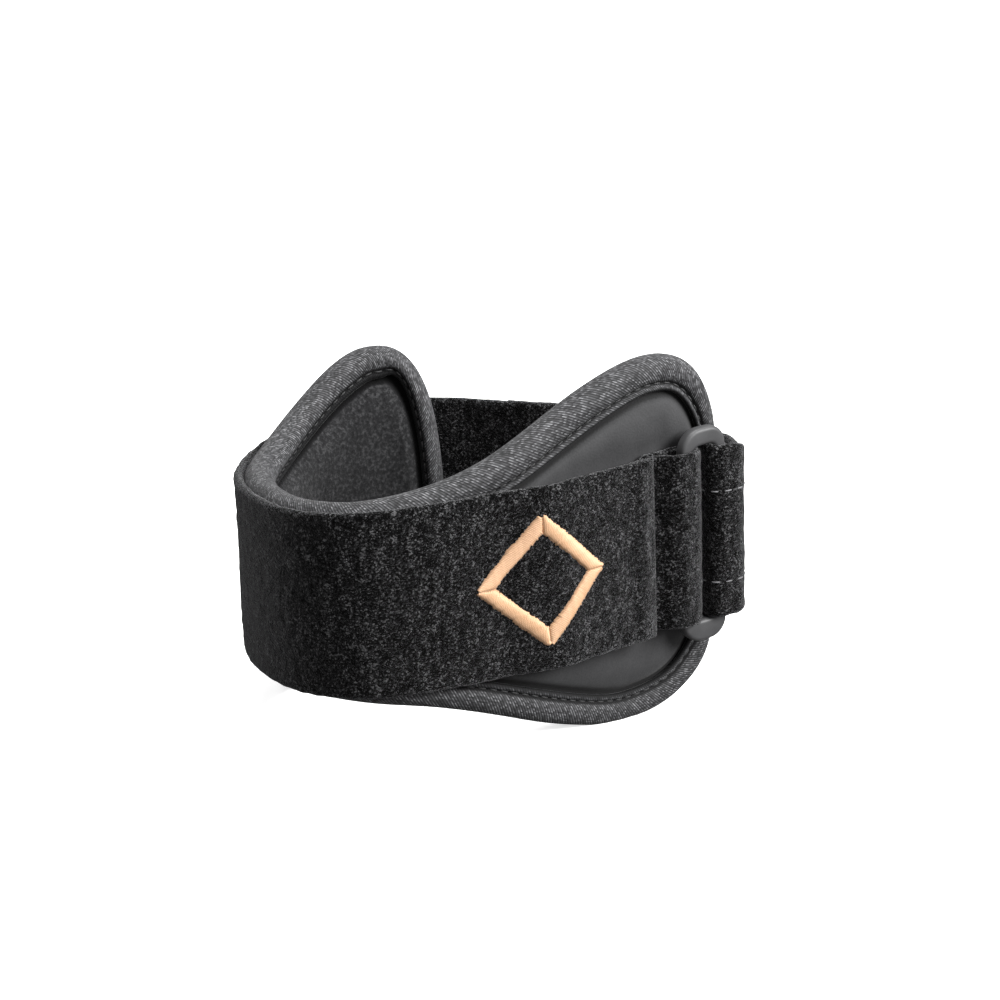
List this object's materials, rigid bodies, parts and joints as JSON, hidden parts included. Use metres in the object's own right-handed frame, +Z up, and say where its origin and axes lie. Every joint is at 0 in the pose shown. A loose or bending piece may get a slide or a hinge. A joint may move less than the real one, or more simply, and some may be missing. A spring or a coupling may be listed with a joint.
{
  "type": "tennis elbow strap",
  "caption": "Hourglass foam arm pad with woven edging, held in a loop by a fleecy strap that runs through a plastic ring and folds back on hooks.",
  "frame": {"origin": "centre of the object's box, on the surface that the two pad lobes stand on", "axes": "+Z up along the arm's way through the loop, +X towards the ring's end of the loop, -Y towards the face with the sewn strap end"},
  "size_m": [0.1134, 0.0858, 0.0794],
  "materials": {
    "cover_cloth": "matte",
    "lining_cloth": "matte",
    "edging_tape": "matte",
    "loop_strap": "matte",
    "grey_plastic": "satin",
    "hook_tape": "matte",
    "mark_thread": "satin"
  },
  "bodies": {
    "root": {"pad_cover": "cover_cloth", "pad_lining": "lining_cloth", "edge_binding": "edging_tape", "strap": "loop_strap", "ring_tab": "loop_strap", "ring": "grey_plastic", "hook_patch": "hook_tape", "embroidered_mark": "mark_thread"}
  },
  "joints": []
}
